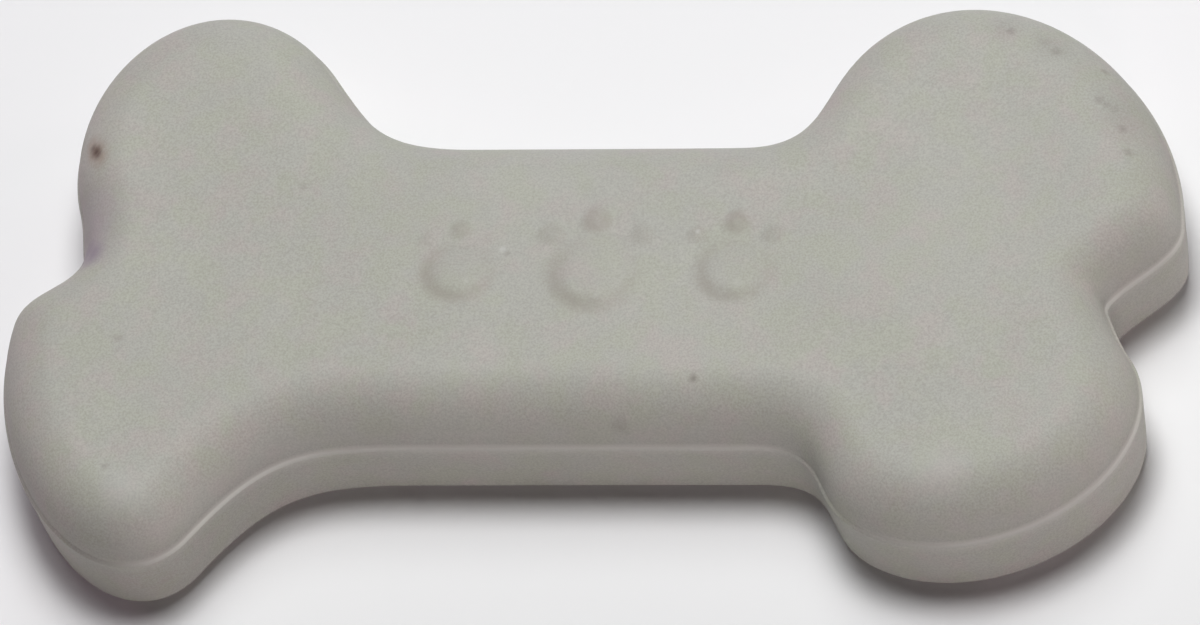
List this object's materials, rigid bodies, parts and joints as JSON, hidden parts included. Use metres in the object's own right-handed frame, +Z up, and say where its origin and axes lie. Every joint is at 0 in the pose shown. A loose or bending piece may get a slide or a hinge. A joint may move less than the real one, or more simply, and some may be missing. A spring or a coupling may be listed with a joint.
{
  "type": "dog biscuit",
  "caption": "Bone-shaped moulded dog biscuit with a flat base, tapered sides, a parting ledge, a round shoulder and raised paw prints on its flat top.",
  "frame": {"origin": "middle of the flat base, on the surface the biscuit lies on", "axes": "+X along the bone towards the end with the wide notch, +Y across it towards the side the paw prints' toes point to, +Z up"},
  "size_m": [0.08, 0.0432, 0.0113],
  "materials": {
    "baked_biscuit": "smooth, pale grey-cream, matte with a faint sheen"
  },
  "bodies": {
    "root": {"biscuit": "baked_biscuit"}
  },
  "joints": []
}
